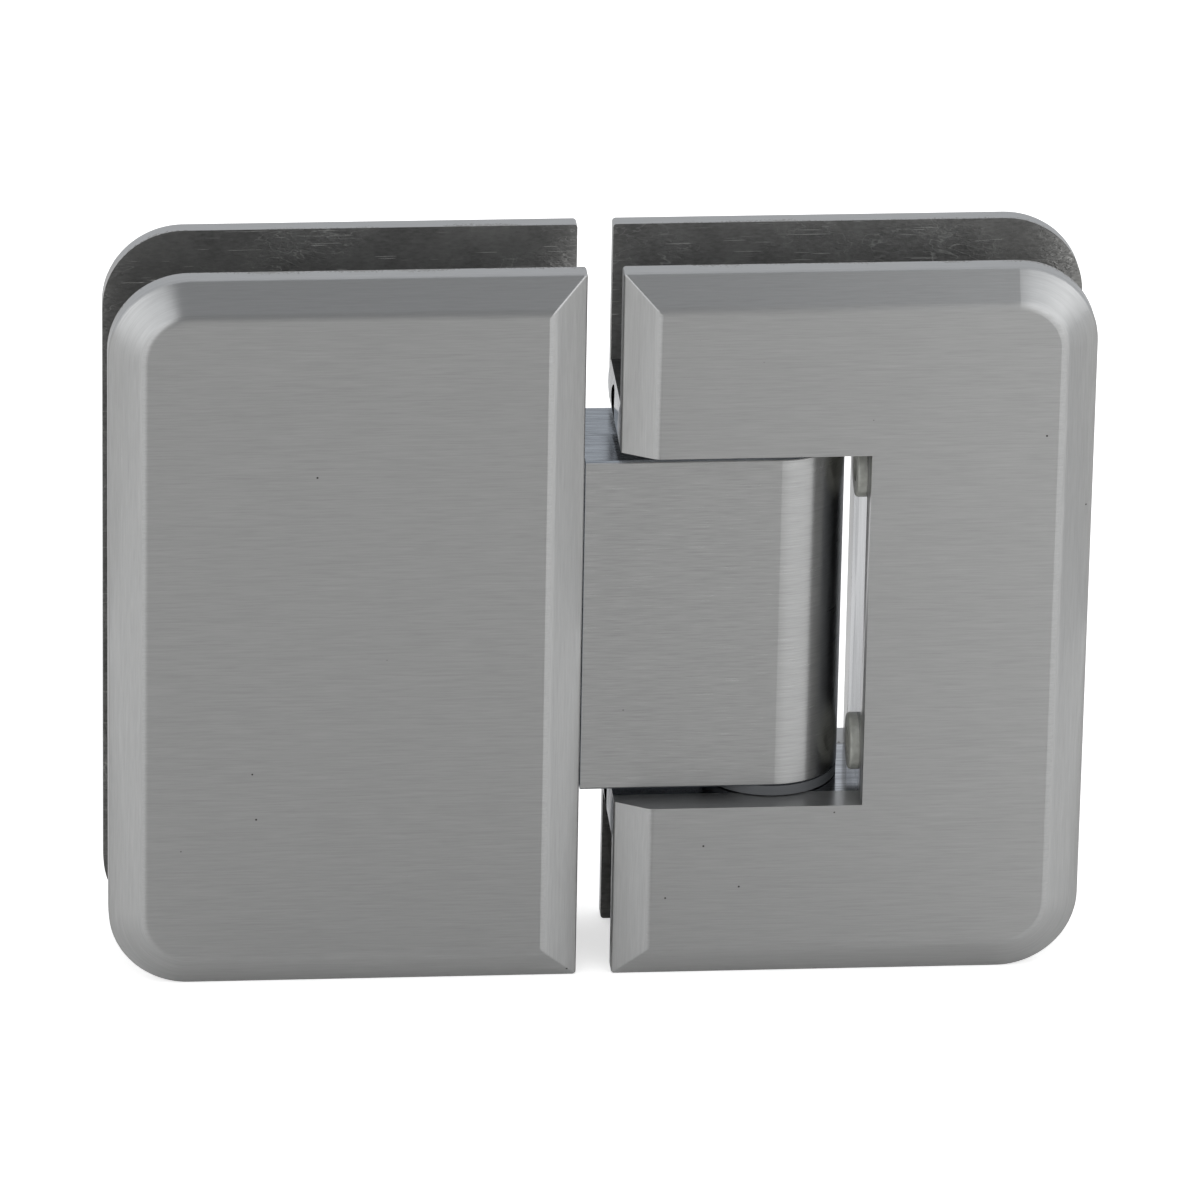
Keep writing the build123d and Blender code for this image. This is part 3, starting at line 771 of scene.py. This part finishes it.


# Bump pads pressed into the web on both sides of the knuckle's mid height.
# Moulded in natural nylon. Its cream is painted grey and a little greenish: painted shade, the look the pads
# have down in the slot.
nylon_mottle = 1.2 * mm
nylon_grain = 0.1 * mm
# These grey-green tones are painted shade laid on cream nylon.
nylon_light = "#A9AAA4"
nylon_dark = "#8A8B85"
nylon, tree = new_material("moulded_natural_nylon")
place = add_node(tree, "ShaderNodeTexCoord", "Object", {})
# Moulded nylon: cloudy and waxy, with the fine grain of a spark-eroded mould.
mottle = add_node(
    tree, "ShaderNodeTexNoise", "Fac", {"Vector": place, "Scale": 1 / nylon_mottle, "Detail": 3.0}
)
mottle = add_node(tree, "ShaderNodeMapRange", "Result", {"Value": mottle, "From Min": 0.3, "From Max": 0.7})
colour = add_node(
    tree, "ShaderNodeMix", "Result",
    {"Factor": mottle, "A": to_linear(nylon_dark), "B": to_linear(nylon_light)}, data_type="RGBA",
)
grain = add_node(
    tree, "ShaderNodeTexNoise", "Fac", {"Vector": place, "Scale": 1 / nylon_grain, "Detail": 2.0}
)
roughness = add_node(tree, "ShaderNodeMapRange", "Result", {"Value": grain, "To Min": 0.36, "To Max": 0.56})
normal = add_node(tree, "ShaderNodeBump", "Normal", {"Height": grain, "Distance": 0.01 * mm})
surface = add_node(
    tree, "ShaderNodeBsdfPrincipled", "BSDF",
    {"Base Color": colour, "Roughness": roughness, "Normal": normal, "IOR": 1.53},
)
add_node(tree, "ShaderNodeOutputMaterial", None, {"Surface": surface})
for name in ("upper_bump_pad", "lower_bump_pad"):
    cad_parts[name].material_slots[0].material = nylon


# White acrylic table that the hinge stands on, lit to plain white, and the white room around it.
# The metal sees the same white, with the acrylic's own soft sheen.
table_z = cad_box[0][2]
table_size = 6.0
acrylic_white = "#EEEEEE"
acrylic_glow = 0.56
acrylic_sheen = 0.18
daylight_white = "#F3F6FB"
room_fill = 0.91


def any_of(tree, *rays):
    light_path = add_node(tree, "ShaderNodeLightPath", None, {}).outputs
    seen = light_path[rays[0]]
    for ray in rays[1:]:
        seen = add_node(tree, "ShaderNodeMath", 0, {0: seen, 1: light_path[ray]}, operation="MAXIMUM")
    return seen


bpy.ops.object.select_all(action="DESELECT")
bpy.ops.mesh.primitive_plane_add(size=table_size, location=(0, 0, table_z))
table = bpy.context.object
table.name = "table"
material, tree = new_material("white_acrylic")
white = (1, 1, 1, 1)
matt = add_node(tree, "ShaderNodeBsdfDiffuse", 0, {"Color": to_linear(acrylic_white)})
camera_glow = add_node(tree, "ShaderNodeEmission", 0, {"Color": white, "Strength": acrylic_glow})
for_camera = add_node(tree, "ShaderNodeAddShader", 0, {0: matt, 1: camera_glow})
sheen = add_node(tree, "ShaderNodeBsdfGlossy", 0, {"Color": white, "Roughness": 0.22})
for_metal = add_node(tree, "ShaderNodeMixShader", 0, {0: acrylic_sheen, 1: matt, 2: sheen})
gloss_ray = any_of(tree, "Is Glossy Ray", "Is Transmission Ray")
shown = add_node(tree, "ShaderNodeMixShader", 0, {0: gloss_ray, 1: matt, 2: for_metal})
camera_ray = any_of(tree, "Is Camera Ray")
shown = add_node(tree, "ShaderNodeMixShader", 0, {0: camera_ray, 1: shown, 2: for_camera})
add_node(tree, "ShaderNodeOutputMaterial", None, {"Surface": shown})
table.data.materials.append(material)

world = bpy.data.worlds.new("white_room")
world.use_nodes = True
tree = world.node_tree
tree.nodes.clear()
wall = add_node(tree, "ShaderNodeBackground", 0, {"Color": white, "Strength": 1.0})
daylight = add_node(tree, "ShaderNodeBackground", 0, {"Color": to_linear(daylight_white), "Strength": 1.0})
fill = add_node(tree, "ShaderNodeBackground", 0, {"Color": white, "Strength": room_fill})
gloss_ray = any_of(tree, "Is Glossy Ray", "Is Transmission Ray")
shown = add_node(tree, "ShaderNodeMixShader", 0, {0: gloss_ray, 1: fill, 2: daylight})
camera_ray = any_of(tree, "Is Camera Ray")
shown = add_node(tree, "ShaderNodeMixShader", 0, {0: camera_ray, 1: shown, 2: wall})
add_node(tree, "ShaderNodeOutputWorld", None, {"Surface": shown})
bpy.context.scene.world = world


# Two upright softboxes in front of the hinge, one on each side of the camera, standing near the
# table. Each is a lamp behind white cloth, given by its width and the brightness of the cloth.
softbox_distance = 1.0
softbox_bottom = 0.04
softbox_height = 0.6


def direction(azimuth):
    return Vector((math.sin(math.radians(azimuth)), -math.cos(math.radians(azimuth)), 0))


def softbox(name, azimuth, width, radiance):
    towards = direction(azimuth)
    middle = Vector((0, 0, table_z + softbox_bottom + softbox_height / 2))
    bpy.ops.object.light_add(type="AREA", location=softbox_distance * towards + middle)
    lamp = bpy.context.object
    lamp.name = name
    lamp.rotation_euler = towards.to_track_quat("Z", "Y").to_euler()
    lamp.data.shape = "RECTANGLE"
    lamp.data.size = width
    lamp.data.size_y = softbox_height
    lamp.data.energy = radiance * math.pi * width * softbox_height


softbox("softbox_left", azimuth=-40, width=1.11, radiance=0.88)
softbox("softbox_right", azimuth=36.5, width=1.04, radiance=1.19)


# Grey curtain that hangs behind the camera, between the softboxes, from the table's height up.
# It is evenly dim cloth that only the metal mirrors, and it casts no shadow.
curtain_grey = "#8F9194"
curtain_width = 0.9
curtain_height = 2.2
curtain_distance = 1.7
to_curtain = direction(-1)
curtain_middle = Vector((0, 0, table_z + curtain_height / 2))
bpy.ops.object.select_all(action="DESELECT")
bpy.ops.mesh.primitive_plane_add(size=1.0, location=curtain_distance * to_curtain + curtain_middle)
curtain = bpy.context.object
curtain.name = "curtain"
curtain.rotation_euler = to_curtain.to_track_quat("Z", "Y").to_euler()
curtain.scale = (curtain_width, curtain_height, 1.0)
material, tree = new_material("grey_curtain")
dim = add_node(tree, "ShaderNodeEmission", 0, {"Color": to_linear(curtain_grey), "Strength": 1.0})
add_node(tree, "ShaderNodeOutputMaterial", None, {"Surface": dim})
curtain.data.materials.append(material)
curtain.visible_camera = False
curtain.visible_diffuse = False
curtain.visible_shadow = False


# Camera at the photograph's place: a long lens, a little to the left and 24 degrees above.
# Distances are in metres, and the lens is in millimetres on a 36 mm sensor.
camera_distance = 1.294
camera_lens = 329.1
camera_sensor = 36
camera_yaw = math.radians(5.16)
camera_pitch = math.radians(24.08)
camera_roll = math.radians(1.06)
camera_target = Vector((0.76, 0.0, -0.20)) * mm
turn = (
    Matrix.Rotation(camera_roll, 3, "Y")
    @ Matrix.Rotation(camera_pitch, 3, "X")
    @ Matrix.Rotation(camera_yaw, 3, "Z")
)
right, ahead, up = turn
bpy.ops.object.camera_add()
camera = bpy.context.object
camera.name = "camera"
camera.data.sensor_width = camera_sensor
camera.data.lens = camera_lens
camera.matrix_world = Matrix.Translation(camera_target - camera_distance * ahead) @ Matrix(
    (right, up, -ahead)
).transposed().to_4x4()
bpy.context.scene.camera = camera
bpy.context.scene.view_settings.view_transform = "Standard"
